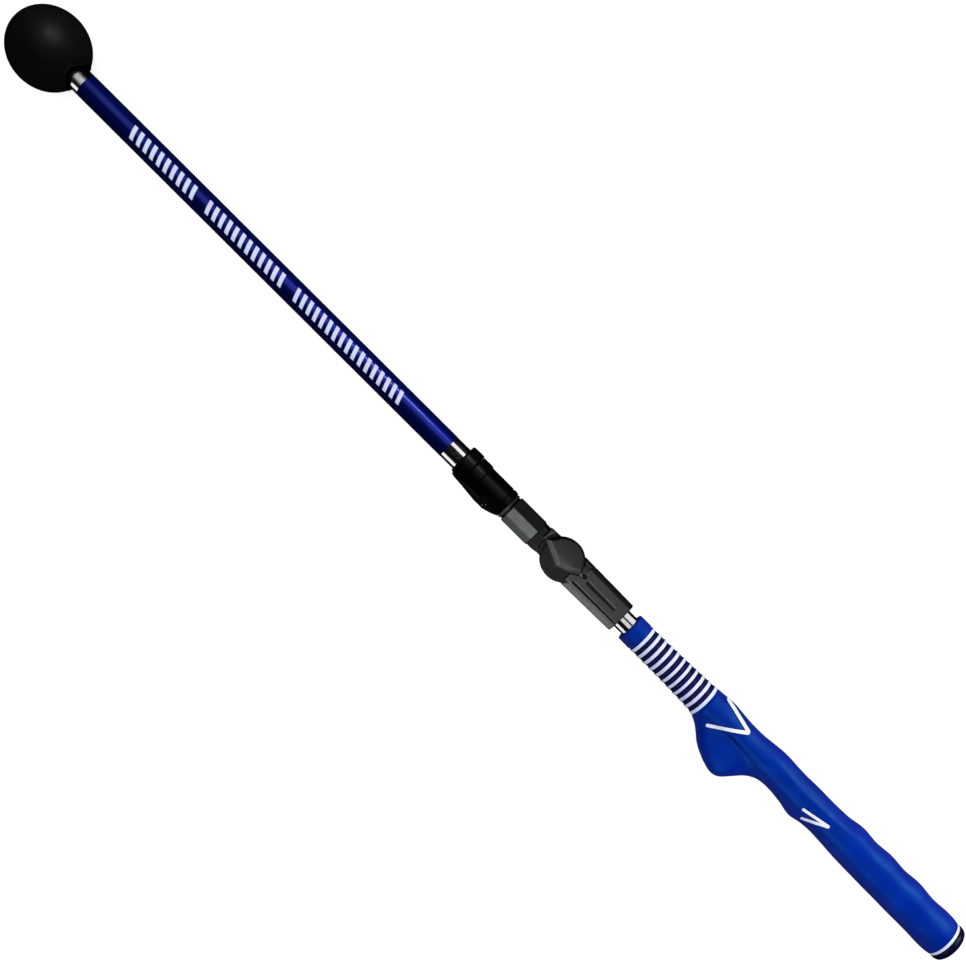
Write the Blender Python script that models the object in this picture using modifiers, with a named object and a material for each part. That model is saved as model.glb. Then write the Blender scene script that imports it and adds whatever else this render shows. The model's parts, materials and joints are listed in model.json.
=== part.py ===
# Golf swing trainer stick: training grip, folding friction hinge, telescoping
# steel tubes with a flip-lever clamp, and a weighted ball head.
#
# Frame: +X runs along the stick from the grip's butt face (x = 0) to the ball,
# +Z is the folding hinge's axis (the hinge's front plate faces +Z),
# +Y is the side of the grip's lobe and of the clamp's lever.
# Units: metres. The constants below are in millimetres.

import math

import bmesh
import bpy
from mathutils import Matrix, Vector

MM = 0.001

# ---------------------------------------------------------------- dimensions
LENGTH = 790.0            # butt face to the ball's tip, collapsed
TRAVEL = 310.0            # telescope travel, 790 to 1100 mm overall
SIDES = 24                # facets of the concentric round pieces

GRIP_START, GRIP_END = 5.2, 271.5
GRIP_BORE = 6.75
LOBE_SPREAD = math.radians(25)
# station, radius on the -Y side, radius on the +Y side (without lobe), lobe height
GRIP_STATIONS = (
    (5.2, 12.3, 12.5, 0.0),
    (13.0, 13.1, 13.3, 0.0),
    (27.0, 12.6, 12.9, 0.0),
    (41.0, 13.4, 12.9, 0.0),
    (52.0, 12.8, 12.7, 0.0),
    (64.0, 13.3, 12.6, 0.0),
    (75.0, 12.7, 12.4, 0.0),
    (87.0, 13.2, 12.1, 0.0),
    (98.0, 11.9, 11.4, 0.0),
    (108.0, 11.4, 10.9, 0.0),
    (116.0, 11.5, 10.9, 0.5),
    (124.5, 11.6, 10.8, 2.2),
    (133.0, 11.4, 10.6, 0.9),
    (141.0, 11.7, 10.4, 0.1),
    (148.0, 12.1, 10.3, 0.1),
    (154.0, 12.0, 10.3, 1.2),
    (160.0, 11.4, 10.4, 4.8),
    (165.5, 10.8, 10.5, 10.8),
    (170.5, 10.5, 10.6, 16.0),
    (175.5, 10.5, 10.7, 17.5),
    (181.0, 10.7, 10.7, 16.5),
    (188.0, 11.3, 10.8, 13.7),
    (194.0, 11.8, 10.8, 10.4),
    (199.0, 11.6, 10.8, 6.2),
    (204.0, 11.1, 10.7, 2.6),
    (210.0, 10.8, 10.6, 0.5),
    (220.0, 10.4, 10.4, 0.0),
    (232.0, 10.0, 10.1, 0.0),
    (245.0, 9.7, 9.9, 0.0),
    (258.0, 9.5, 9.8, 0.0),
    (271.5, 9.4, 9.6, 0.0),
)
GRIP_STEP = 6.5           # spacing of the grip's sections along X
GRIP_POINTS = 32          # points round each section

LOWER_TUBE_R, LOWER_TUBE_BORE = 6.5, 5.7
LOWER_TUBE = (9.0, 305.0)

PIVOT_X = 328.7
KNUCKLE_R = 13.6
TONGUE_Z = 3.2            # half thickness of the tongue
CHEEK_IN, CHEEK_OUT = 4.3, 7.4
PLATE_Z = 9.6             # outer face of the raised plates
ARM_LOWER = (279.2, 320.0)
SLOT_FLOOR = PIVOT_X - 14.3
NECK_CLEAR_R = 16.3       # everything of the upper arm above the tongue stays outside this
ARM_UPPER = (350.7, 371.8)
BOLT_R, BUSH_R = 3.0, 4.1

INNER_TUBE_R, INNER_TUBE_BORE = 6.2, 5.4
INNER_TUBE = (352.6, 736.0)
OUTER_TUBE_R, OUTER_TUBE_BORE = 7.8, 7.05
OUTER_TUBE = (391.0, 764.0)
LINER = (391.2, 415.0)
BUSH_START = LINER[1] + TRAVEL + 0.5

BUMPER = (372.2, 374.4)
CLAMP_BODY = (374.8, 404.6)
CLAMP_COLLAR = (404.9, 413.8)
CLAMP_R, COLLAR_R = 9.6, 10.9
LEVER_X, LEVER_Y = 385.0, 10.0
LEVER_W = 5.4             # half width of the lever

BALL_X = 763.2            # centre of the ball
BALL_A, BALL_B = LENGTH - BALL_X, 24.8   # semi-axes along and across the stick
BALL_NECK_X = 737.4


# ------------------------------------------------------------------- scene
def clear_scene():
    for obj in list(bpy.data.objects):
        bpy.data.objects.remove(obj, do_unlink=True)


def collection(name, hidden=False):
    found = bpy.data.collections.new(name)
    bpy.context.scene.collection.children.link(found)
    found.hide_render = hidden
    return found


clear_scene()
PARTS = collection("swing_trainer_stick")
CUTTERS = collection("cutters", hidden=True)


def material(name, colour, roughness, metallic=0.0):
    made = bpy.data.materials.new(name)
    made.use_nodes = True
    shader = made.node_tree.nodes["Principled BSDF"]
    shader.inputs["Base Color"].default_value = (*colour, 1.0)
    shader.inputs["Roughness"].default_value = roughness
    shader.inputs["Metallic"].default_value = metallic
    made.diffuse_color = (*colour, 1.0)
    return made


BLUE_RUBBER = material("blue_rubber", (0.01, 0.03, 0.36), 0.45)
DARK_RUBBER = material("dark_blue_rubber", (0.004, 0.008, 0.09), 0.5)
CHROME = material("chrome", (0.8, 0.81, 0.83), 0.12, 1.0)
STEEL = material("steel", (0.45, 0.46, 0.48), 0.35, 1.0)
NAVY = material("navy_lacquer", (0.005, 0.01, 0.11), 0.2)
GREY_PLASTIC = material("grey_plastic", (0.055, 0.06, 0.062), 0.5)
NYLON = material("nylon", (0.5, 0.49, 0.45), 0.45)
BLACK_GLOSS = material("black_gloss", (0.006, 0.006, 0.007), 0.15)
BLACK_MATTE = material("black_matte", (0.012, 0.012, 0.014), 0.6)


def smooth_by_angle():
    """A node group that shades smooth and keeps edges over 32 degrees sharp."""
    tree = bpy.data.node_groups.new("smooth_by_angle", "GeometryNodeTree")
    tree.interface.new_socket("Geometry", in_out="INPUT", socket_type="NodeSocketGeometry")
    tree.interface.new_socket("Geometry", in_out="OUTPUT", socket_type="NodeSocketGeometry")
    start = tree.nodes.new("NodeGroupInput")
    faces = tree.nodes.new("GeometryNodeSetShadeSmooth")
    faces.domain = "FACE"
    edges = tree.nodes.new("GeometryNodeSetShadeSmooth")
    edges.domain = "EDGE"
    edges.inputs["Shade Smooth"].default_value = False
    angle = tree.nodes.new("GeometryNodeInputMeshEdgeAngle")
    sharp = tree.nodes.new("FunctionNodeCompare")
    sharp.operation = "GREATER_THAN"
    sharp.inputs[1].default_value = math.radians(32)
    end = tree.nodes.new("NodeGroupOutput")
    link = tree.links.new
    link(start.outputs[0], faces.inputs["Geometry"])
    link(faces.outputs[0], edges.inputs["Geometry"])
    link(angle.outputs["Unsigned Angle"], sharp.inputs[0])
    link(sharp.outputs[0], edges.inputs["Selection"])
    link(edges.outputs[0], end.inputs[0])
    return tree


SMOOTH = smooth_by_angle()


# ------------------------------------------------------------------ helpers
ALONG_X = Matrix(((0, 0, 1, 0), (1, 0, 0, 0), (0, 1, 0, 0), (0, 0, 0, 1)))  # local Z to X, X to Y, Y to Z
ALONG_Y = Matrix(((0, 1, 0, 0), (0, 0, 1, 0), (1, 0, 0, 0), (0, 0, 0, 1)))  # local Z to Y, X to Z, Y to X
ALONG_Z = Matrix.Identity(4)


def add(name, mesh, matrix, owner, paint=None):
    obj = bpy.data.objects.new(name, mesh)
    owner.objects.link(obj)
    obj.matrix_world = matrix
    if paint:
        mesh.materials.append(paint)
    if owner is CUTTERS:
        obj.hide_render = True
        obj.display_type = "WIRE"
    return obj


def placed(direction, at=(0, 0, 0)):
    return Matrix.Translation(Vector(at) * MM) @ direction


def turned(name, profile, paint=None, owner=None, at=(0, 0, 0), direction=ALONG_X, sides=SIDES):
    """A turned piece. The profile is (station, radius), down the outer side from the far
    end to the near end; it ends on the axis at both ends, or is a closed loop."""
    points = [(radius * MM, 0, station * MM) for station, radius in profile]
    edges = [(i, i + 1) for i in range(len(points) - 1)]
    if profile[0][1] > 0:
        edges.append((len(points) - 1, 0))
    mesh = bpy.data.meshes.new(name)
    mesh.from_pydata(points, edges, [])
    obj = add(name, mesh, placed(direction, at), owner or PARTS, paint)
    screw = obj.modifiers.new("screw", "SCREW")
    screw.axis = "Z"
    screw.angle = 2 * math.pi
    screw.steps = screw.render_steps = sides
    screw.use_merge_vertices = True
    screw.merge_threshold = 0.00001
    screw.use_smooth_shade = True
    return obj


def rod(x0, x1, r):
    """Profile of a solid cylinder between two stations."""
    return [(x1, 0), (x1, r), (x0, r), (x0, 0)]


def pipe(x0, x1, r, bore, edge=0.2):
    """Profile of a tube with a small chamfer on its ends."""
    return [(x1 - edge, r), (x0 + edge, r), (x0, r - edge), (x0, bore), (x1, bore), (x1, r - edge)]


def outlined(name, outline, low, high, paint=None, owner=None, direction=ALONG_Z, at=(0, 0, 0)):
    """A flat outline of (a, b) points, extruded from low to high: a 2D curve made a mesh."""
    curve = bpy.data.curves.new(name, "CURVE")
    curve.dimensions = "2D"
    curve.fill_mode = "BOTH"
    curve.extrude = (high - low) / 2 * MM
    spline = curve.splines.new("POLY")
    spline.points.add(len(outline) - 1)
    for point, (a, b) in zip(spline.points, outline):
        point.co = (a * MM, b * MM, 0, 1)
    spline.use_cyclic_u = True
    guide = bpy.data.objects.new(name + "_outline", curve)
    CUTTERS.objects.link(guide)
    bpy.context.view_layer.update()
    graph = bpy.context.evaluated_depsgraph_get()
    mesh = bpy.data.meshes.new_from_object(guide.evaluated_get(graph))
    mesh.name = name
    shape = bmesh.new()
    shape.from_mesh(mesh)
    bmesh.ops.remove_doubles(shape, verts=shape.verts, dist=0.000001)
    bmesh.ops.translate(shape, verts=shape.verts, vec=(0, 0, (high + low) / 2 * MM))
    bmesh.ops.recalc_face_normals(shape, faces=shape.faces)
    shape.to_mesh(mesh)
    shape.free()
    bpy.data.objects.remove(guide, do_unlink=True)
    bpy.data.curves.remove(curve)
    mesh.materials.clear()
    return add(name, mesh, placed(direction, at), owner or PARTS, paint)


def block(name, low, high, owner=None, paint=None):
    """A box between two corners, from the cube primitive."""
    mesh = bpy.data.meshes.new(name)
    shape = bmesh.new()
    bmesh.ops.create_cube(shape, size=1)
    size = [(b - a) * MM for a, b in zip(low, high)]
    bmesh.ops.scale(shape, verts=shape.verts, vec=size)
    shape.to_mesh(mesh)
    shape.free()
    middle = [(a + b) / 2 for a, b in zip(low, high)]
    return add(name, mesh, placed(ALONG_Z, middle), owner or CUTTERS, paint)


def combine(obj, other, operation):
    step = obj.modifiers.new(operation.lower() + "_" + other.name, "BOOLEAN")
    step.operation = operation
    step.object = other
    return obj


def cut(obj, *others):
    for other in others:
        combine(obj, other, "DIFFERENCE")
    return obj


def join(obj, *others):
    for other in others:
        combine(obj, other, "UNION")
    return obj


def bevel(obj, width, segments=1, angle=35):
    """Rounds the edges of a welded mesh that are sharper than the angle."""
    step = obj.modifiers.new("bevel", "BEVEL")
    step.width = width * MM
    step.segments = segments
    step.limit_method = "ANGLE"
    step.angle_limit = math.radians(angle)
    return obj


def cutter_rod(name, r, low, high, direction, at, sides=24, turn=0.0):
    """A round cutter; turn, in degrees, keeps its facets off those of the piece it cuts."""
    direction = direction @ Matrix.Rotation(math.radians(turn), 4, "Z")
    return turned(name, rod(low, high, r), owner=CUTTERS, at=at, direction=direction, sides=sides)


def arc(cx, cy, r, start, end, count):
    """Points on an arc, angles in degrees."""
    return [
        (
            cx + r * math.cos(math.radians(start + (end - start) * i / count)),
            cy + r * math.sin(math.radians(start + (end - start) * i / count)),
        )
        for i in range(count + 1)
    ]


def along(table, column, x):
    """Smooth value of one column of a station table at x (cubic through the stations)."""
    rows = len(table)
    if x <= table[0][0]:
        return table[0][column]
    if x >= table[-1][0]:
        return table[-1][column]
    i = max(k for k in range(rows - 1) if table[k][0] <= x)

    def slope(k):
        a, b = max(k - 1, 0), min(k + 1, rows - 1)
        return (table[b][column] - table[a][column]) / (table[b][0] - table[a][0])

    x0, x1 = table[i][0], table[i + 1][0]
    y0, y1 = table[i][column], table[i + 1][column]
    h = x1 - x0
    t = (x - x0) / h
    return (
        (2 * t**3 - 3 * t**2 + 1) * y0
        + (t**3 - 2 * t**2 + t) * h * slope(i)
        + (-2 * t**3 + 3 * t**2) * y1
        + (t**3 - t**2) * h * slope(i + 1)
    )


def grip_point(x, angle):
    """(y, z) of the grip's surface at station x; angle 0 is the lobe side, +Y."""
    minus = along(GRIP_STATIONS, 1, x)
    plus = along(GRIP_STATIONS, 2, x)
    lobe = max(along(GRIP_STATIONS, 3, x), 0.0)
    side = 0.5 + 0.5 * math.cos(angle)
    base = minus + (plus - minus) * side
    squeeze = 1 - 0.03 * math.sin(angle) ** 2
    wrapped = math.atan2(math.sin(angle), math.cos(angle))
    radius = base * squeeze + lobe * math.exp(-((wrapped / LOBE_SPREAD) ** 2))
    return radius * math.cos(angle), radius * math.sin(angle)


# --------------------------------------------------------------------- grip
def make_grip():
    """The grip is a loft: round sections that swell into the lobe on one side."""
    count = round((GRIP_END - GRIP_START) / GRIP_STEP)
    shape = bmesh.new()
    rings = []
    for i in range(count + 1):
        x = GRIP_START + (GRIP_END - GRIP_START) * i / count
        ring = []
        for j in range(GRIP_POINTS):
            y, z = grip_point(x, 2 * math.pi * j / GRIP_POINTS)
            ring.append(shape.verts.new((x * MM, y * MM, z * MM)))
        rings.append(ring)
    for near, far in zip(rings, rings[1:]):
        for j in range(GRIP_POINTS):
            k = (j + 1) % GRIP_POINTS
            shape.faces.new((near[j], near[k], far[k], far[j]))
    shape.faces.new(reversed(rings[0]))
    shape.faces.new(rings[-1])
    bmesh.ops.recalc_face_normals(shape, faces=shape.faces)
    mesh = bpy.data.meshes.new("grip_sleeve")
    shape.to_mesh(mesh)
    shape.free()
    grip = add("grip_sleeve", mesh, Matrix.Identity(4), PARTS, BLUE_RUBBER)
    return cut(grip, cutter_rod("grip_bore", GRIP_BORE, -5, GRIP_END + 5, ALONG_X, (0, 0, 0), SIDES))


make_grip()

# The butt cap covers the grip's end; its spigot plugs the tube.
turned(
    "butt_cap",
    [
        (24.0, 0), (24.0, 4.8), (23.2, 5.5), (5.0, 5.5), (5.0, 12.4), (4.2, 12.7),
        (2.6, 12.6), (1.2, 12.2), (0.35, 11.6), (0.0, 10.9), (0.0, 0),
    ],
    DARK_RUBBER,
)
turned("lower_tube", pipe(*LOWER_TUBE, LOWER_TUBE_R, LOWER_TUBE_BORE), CHROME)

# -------------------------------------------------------- hinge, lower arm
P = PIVOT_X
lower_section = [
    (-10.9, -6.2), (-8.3, -8.7), (6.9, -8.7), (10.9, -4.9),
    (10.9, 4.9), (6.9, 8.7), (-8.3, 8.7), (-10.9, 6.2),
]
lower_arm = outlined("hinge_lower_arm", lower_section, *ARM_LOWER, GREY_PLASTIC, direction=ALONG_X)
for vertex in lower_arm.data.vertices:      # the arm narrows towards the grip
    if vertex.co.z < (ARM_LOWER[0] + 1) * MM:
        vertex.co.x *= 0.94
        vertex.co.y *= 0.94
bevel(lower_arm, 0.5)

# Both cheeks in one turned piece; the rear one carries a round boss for the bolt's head.
knuckle = turned(
    "lower_knuckle",
    [(CHEEK_OUT, 0), (CHEEK_OUT, KNUCKLE_R - 0.5), (CHEEK_OUT - 0.5, KNUCKLE_R),
     (-CHEEK_OUT + 0.5, KNUCKLE_R), (-CHEEK_OUT, KNUCKLE_R - 0.5), (-CHEEK_OUT, 10.4),
     (-PLATE_Z + 0.8, 9.8), (-PLATE_Z, 9.0), (-PLATE_Z, 5.9), (-6.3, 5.9), (-6.3, BOLT_R + 0.2),
     (6.5, BOLT_R + 0.2), (6.5, 0)],
    owner=CUTTERS, at=(P, 0, 0), direction=ALONG_Z, sides=36,
)
# The raised plate on the front cheek: straight V edges on the fold side, round on the other.
plate_outline = (
    [(P - 13.4, -1.4), (P - 8.4, 1.7), (P + 0.4, 5.2), (P + 8.2, 1.8), (P + 15.4, -1.6)]
    + [(P + 11.2, -5.6)]
    + arc(P, 0, 12.7, -40, -140, 10)
    + [(P - 11.6, -5.0)]
)
plates = outlined("lower_front_plate", plate_outline, 6.65, PLATE_Z, owner=CUTTERS)
bevel(plates, 1.1, 1, 60)
slot = block("lower_slot", (SLOT_FLOOR, -30, -CHEEK_IN), (P + 40, 30, CHEEK_IN))
join(lower_arm, knuckle, plates)
cut(
    lower_arm,
    slot,
    cutter_rod("lower_socket", LOWER_TUBE_R + 0.2, ARM_LOWER[0] - 5, LOWER_TUBE[1] + 0.4, ALONG_X, (0, 0, 0), SIDES),
    cutter_rod("lower_nut_pocket", 6.0, 0, 7.0, ALONG_Z, (P, 0, 0), 6, 1.7),
    cutter_rod("lower_pin_hole", 1.45, -20, 20, ALONG_Y, (290.0, 0, 0), 16),
)
cut(bpy.data.objects["lower_tube"], bpy.data.objects["lower_pin_hole"])
turned("lower_arm_pin", [(10.1, 0), (10.1, 1.0), (9.9, 1.2), (-9.9, 1.2), (-10.1, 1.0), (-10.1, 0)],
       STEEL, at=(290.0, 0, 0), direction=ALONG_Y, sides=16)

turned("pivot_bolt", [(6.3, 0), (6.3, BOLT_R), (-6.9, BOLT_R), (-6.9, 5.2), (-9.0, 5.2), (-9.4, 4.8),
                      (-9.4, 2.0), (-7.6, 2.0), (-7.6, 0)],
       STEEL, at=(P, 0, 0), direction=ALONG_Z, sides=24)
turned("pivot_nut", [(6.7, 5.6), (4.6, 5.6), (4.6, BOLT_R + 0.6), (6.7, BOLT_R + 0.6)],
       STEEL, at=(P, 0, 0), direction=ALONG_Z @ Matrix.Rotation(math.radians(1.7), 4, "Z"), sides=6)
turned("disc_spring", [(-6.42, 5.2), (-6.72, 5.2), (-6.62, 3.3), (-6.32, 3.3)],
       STEEL, at=(P, 0, 0), direction=ALONG_Z, sides=24)
for end, sign in (("front", 1), ("rear", -1)):
    low, high = sorted((sign * (TONGUE_Z + 0.2), sign * (CHEEK_IN - 0.2)))
    turned("friction_washer_" + end, pipe(low, high, 11.8, 4.5, 0.1), NYLON,
           at=(P, 0, 0), direction=ALONG_Z, sides=24)

# -------------------------------------------------------- hinge, upper arm
upper_section = [
    (-9.1, -4.2), (-7.6, -6.4), (-1.6, -8.9), (4.9, -7.9), (9.1, -4.4),
    (9.1, 4.4), (4.9, 7.9), (-1.6, 8.9), (-7.6, 6.4), (-9.1, 4.2),
]
upper_arm = outlined("hinge_upper_arm", upper_section, *ARM_UPPER, GREY_PLASTIC, direction=ALONG_X)
bevel(upper_arm, 0.4)
tongue = turned("upper_tongue", pipe(-TONGUE_Z, TONGUE_Z, KNUCKLE_R, BUSH_R + 0.15, 0.3),
                owner=CUTTERS, at=(P, 0, 0), direction=ALONG_Z, sides=36)
# The square corner on the -Y side meets the slot's floor and stops the hinge straight.
stop_corner = outlined("upper_stop_corner", [(P - 13.9, -9.0), (P - 5.0, -12.0), (P - 5.0, -5.0), (P - 13.9, -3.0)],
                       -TONGUE_Z + 0.15, TONGUE_Z - 0.15, owner=CUTTERS)
neck = outlined("upper_neck", [(P + 6, -8.6), (P + 24, -8.6), (P + 24, 8.5), (P + 17.2, 8.5), (P + 14.5, 7.9), (P + 12, 7.9), (P + 6, 8.6)],
                -TONGUE_Z + 0.08, TONGUE_Z - 0.08, owner=CUTTERS)
neck_core = outlined("upper_neck_core", [(P + 14.5, -6.9), (P + 24, -6.9), (P + 24, 5.6), (P + 14.5, 5.6)],
                     -5.6, 5.6, owner=CUTTERS)
shoulder = outlined("upper_shoulder", [(P + 8.0, -9.6), (P + 18.0, -9.1), (P + 18.0, -1.2), (P + 14.0, -1.2)],
                    -8.2, 8.2, owner=CUTTERS)
bevel(shoulder, 0.6)
sweep = [
    turned("sweep_" + end, rod(low, high, NECK_CLEAR_R), owner=CUTTERS, at=(P, 0, 0),
           direction=ALONG_Z, sides=48)
    for end, low, high in (("front", TONGUE_Z - 0.4, 20), ("rear", -20, -TONGUE_Z + 0.4))
]
bush_hole = cutter_rod("upper_bush_hole", BUSH_R + 0.15, -20, 20, ALONG_Z, (P, 0, 0))
join(upper_arm, neck_core, shoulder)
cut(upper_arm, *sweep)
join(upper_arm, neck, tongue, stop_corner)
cut(
    upper_arm,
    bush_hole,
    cutter_rod("upper_socket", INNER_TUBE_R + 0.2, INNER_TUBE[0] - 0.4, ARM_UPPER[1] + 5, ALONG_X, (0, 0, 0), SIDES),
    cutter_rod("upper_pin_hole", 1.45, -20, 20, ALONG_Y, (362.0, 0, 0), 16),
)
turned("pivot_bush", pipe(-TONGUE_Z + 0.1, TONGUE_Z - 0.1, BUSH_R, BOLT_R + 0.1, 0.2), NYLON,
       at=(P, 0, 0), direction=ALONG_Z, sides=24)
turned("upper_arm_pin", [(8.5, 0), (8.5, 1.0), (8.3, 1.2), (-8.3, 1.2), (-8.5, 1.0), (-8.5, 0)],
       STEEL, at=(362.0, 0, 0), direction=ALONG_Y, sides=16)

# --------------------------------------------------------- telescoping tubes
inner_tube = turned("inner_tube", pipe(*INNER_TUBE, INNER_TUBE_R, INNER_TUBE_BORE), CHROME)
cut(inner_tube, bpy.data.objects["upper_pin_hole"])
turned("bumper_washer", pipe(*BUMPER, 8.7, INNER_TUBE_R + 0.25, 0.4), GREY_PLASTIC)
turned(
    "guide_bush",
    [(738.4, 6.5), (738.0, 6.9), (BUSH_START + 0.4, 6.9), (BUSH_START, 6.6), (BUSH_START, INNER_TUBE_R + 0.15),
     (INNER_TUBE[1] + 0.3, INNER_TUBE_R + 0.15), (INNER_TUBE[1] + 0.3, 5.25), (BUSH_START - 8, 5.25),
     (BUSH_START - 8, 3.6), (738.4, 3.6)],
    NYLON,
)
turned("outer_tube", pipe(*OUTER_TUBE, OUTER_TUBE_R, OUTER_TUBE_BORE), NAVY)
turned("guide_liner", pipe(*LINER, OUTER_TUBE_BORE - 0.1, INNER_TUBE_R + 0.1, 0.1), NYLON)

# --------------------------------------------------------- flip-lever clamp
clamp = turned(
    "clamp_body",
    [(CLAMP_BODY[1], CLAMP_R + 0.7), (CLAMP_BODY[1] - 7.6, CLAMP_R + 0.7), (CLAMP_BODY[1] - 8.6, CLAMP_R),
     (CLAMP_BODY[0] + 0.8, CLAMP_R), (CLAMP_BODY[0], CLAMP_R - 0.8), (CLAMP_BODY[0], INNER_TUBE_R + 0.25),
     (OUTER_TUBE[0] - 0.3, INNER_TUBE_R + 0.25), (OUTER_TUBE[0] - 0.3, OUTER_TUBE_R + 0.15),
     (CLAMP_BODY[1], OUTER_TUBE_R + 0.15)],
    BLACK_GLOSS,
)
# Each ear falls away behind the pin in a long fairing towards the clamp's end ring.
ear_outline = [(LEVER_X - 9.4, 4.0), (LEVER_X + 5.4, 4.0), (LEVER_X + 5.4, 8.0)] + arc(LEVER_X, LEVER_Y, 2.3, 40, 115, 6) + [(LEVER_X - 4.6, 11.1), (LEVER_X - 9.4, 9.2)]
for end, low, high in (("front", LEVER_W + 0.4, 8.1), ("rear", -8.1, -LEVER_W - 0.4)):
    ear = outlined("clamp_ear_" + end, ear_outline, low, high, owner=CUTTERS)
    bevel(ear, 0.3, 1, 60)
    join(clamp, ear)
pin_hole = cutter_rod("lever_pin_hole", 1.15, -20, 20, ALONG_Z, (LEVER_X, LEVER_Y, 0), 16)
lever_bed = block("lever_bed", (LEVER_X - 3.4, 8.4, -LEVER_W - 0.4), (CLAMP_COLLAR[1] + 5, 30, LEVER_W + 0.4))
cut(
    clamp,
    lever_bed,
    block("cam_pocket", (LEVER_X - 3.4, 7.0, -LEVER_W - 0.38), (LEVER_X + 4.2, 25, LEVER_W + 0.35)),
    block("pad_window", (LEVER_X - 5.3, 4.0, -4.5), (LEVER_X + 5.3, 20, 4.5)),
    cutter_rod("clamp_bore", INNER_TUBE_R + 0.25, CLAMP_BODY[0] - 5, OUTER_TUBE[0], ALONG_X, (0, 0, 0), SIDES),
    pin_hole,
)
cut(
    turned("clamp_collar", pipe(*CLAMP_COLLAR, COLLAR_R, OUTER_TUBE_R + 0.15, 0.7), BLACK_GLOSS),
    lever_bed,
)
# The pad is saddle-shaped underneath, to sit on the inner tube.
cut(
    block("clamp_pad", (LEVER_X - 5.0, 5.0, -4.2), (LEVER_X + 5.0, 7.3, 4.2), PARTS, NYLON),
    cutter_rod("pad_saddle", INNER_TUBE_R + 0.15, LEVER_X - 20, LEVER_X + 20, ALONG_X, (0, 0, 0), SIDES),
)
# The lever: cam boss eccentric towards the pad, arm lying along the collar.
lever_outline = (
    arc(LEVER_X, LEVER_Y - 0.1, 2.45, 72, 292, 14)
    + [(LEVER_X + 6.0, 8.85), (LEVER_X + 26.2, 8.85), (LEVER_X + 27.2, 9.3), (LEVER_X + 27.0, 10.2),
       (LEVER_X + 24.0, 10.75), (LEVER_X + 18.0, 11.1), (LEVER_X + 12.0, 11.75), (LEVER_X + 6.0, 12.3)]
)
lever = outlined("clamp_lever", lever_outline, -LEVER_W, LEVER_W, BLACK_GLOSS)
bevel(lever, 0.5, 1, 50)
cut(lever, pin_hole)
turned("lever_pin", [(8.0, 0), (8.0, 0.8), (7.8, 1.0), (-7.8, 1.0), (-8.0, 0.8), (-8.0, 0)],
       STEEL, at=(LEVER_X, LEVER_Y, 0), direction=ALONG_Z, sides=16)

# ---------------------------------------------------------------- ball head
WEIGHT = (766.5, 782.5)
WEIGHT_R = 13.0


def ball_profile():
    outer = []
    last = math.degrees(math.acos((BALL_NECK_X + 1.2 - BALL_X) / BALL_A))
    for i in range(15):
        angle = math.radians(last * i / 14)
        outer.append((BALL_X + BALL_A * math.cos(angle), BALL_B * math.sin(angle)))
    mouth = OUTER_TUBE_R + 0.2
    return outer + [
        (BALL_NECK_X, 9.6), (BALL_NECK_X, 9.0), (BALL_NECK_X + 4.0, 8.6), (BALL_NECK_X + 4.6, mouth),
        (OUTER_TUBE[1] + 0.5, mouth), (OUTER_TUBE[1] + 0.5, WEIGHT_R + 0.2), (WEIGHT[1] + 0.3, WEIGHT_R + 0.2),
        (WEIGHT[1] + 0.3, 0),
    ]


turned("ball_cover", ball_profile(), BLACK_MATTE, sides=32)
turned("ball_weight", [(WEIGHT[1], 0 + 4.2), (WEIGHT[1], WEIGHT_R - 0.6), (WEIGHT[1] - 0.6, WEIGHT_R),
                       (WEIGHT[0] + 0.6, WEIGHT_R), (WEIGHT[0], WEIGHT_R - 0.6), (WEIGHT[0], 2.2),
                       (WEIGHT[1] - 4.4, 2.2), (WEIGHT[1] - 4.4, 4.2)], STEEL)
turned("ball_end_plug", [(OUTER_TUBE[1] + 2.0, 7.6), (OUTER_TUBE[1] + 0.3, 7.6), (OUTER_TUBE[1] + 0.3, OUTER_TUBE_BORE - 0.15),
                         (743.0, OUTER_TUBE_BORE - 0.15), (743.0, 2.2), (OUTER_TUBE[1] + 2.0, 2.2)], NYLON)
turned("ball_screw", [(WEIGHT[1] - 0.8, 0), (WEIGHT[1] - 0.8, 3.9), (WEIGHT[1] - 4.1, 3.9), (WEIGHT[1] - 4.1, 2.0),
                      (748.0, 2.0), (747.0, 0)], STEEL, sides=24)

for piece in PARTS.objects:
    piece.modifiers.new("smooth_by_angle", "NODES").node_group = SMOOTH
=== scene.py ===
# Swing trainer stick: the looks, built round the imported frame.
import json
import math

import bmesh
import bpy
import numpy as np
from mathutils import Matrix, Vector

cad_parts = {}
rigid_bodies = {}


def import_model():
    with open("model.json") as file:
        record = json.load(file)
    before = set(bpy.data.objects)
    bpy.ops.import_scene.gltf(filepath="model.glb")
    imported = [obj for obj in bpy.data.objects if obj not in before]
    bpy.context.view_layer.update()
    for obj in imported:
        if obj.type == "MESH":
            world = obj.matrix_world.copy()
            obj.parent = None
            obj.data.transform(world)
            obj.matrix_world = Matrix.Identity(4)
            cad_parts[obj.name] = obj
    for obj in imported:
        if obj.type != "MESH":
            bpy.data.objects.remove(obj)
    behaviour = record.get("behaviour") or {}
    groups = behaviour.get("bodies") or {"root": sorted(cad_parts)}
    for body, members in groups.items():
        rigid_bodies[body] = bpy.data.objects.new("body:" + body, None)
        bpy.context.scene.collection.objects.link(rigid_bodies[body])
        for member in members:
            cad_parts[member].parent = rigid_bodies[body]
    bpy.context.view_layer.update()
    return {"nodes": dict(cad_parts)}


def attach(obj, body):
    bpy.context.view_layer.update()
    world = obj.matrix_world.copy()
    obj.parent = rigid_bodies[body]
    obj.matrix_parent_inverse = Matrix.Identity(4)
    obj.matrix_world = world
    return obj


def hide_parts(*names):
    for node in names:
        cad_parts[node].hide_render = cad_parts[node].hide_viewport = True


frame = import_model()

MM = 0.001
scene = bpy.context.scene
scene.view_settings.view_transform = "Standard"
scene.view_settings.look = "None"

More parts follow.
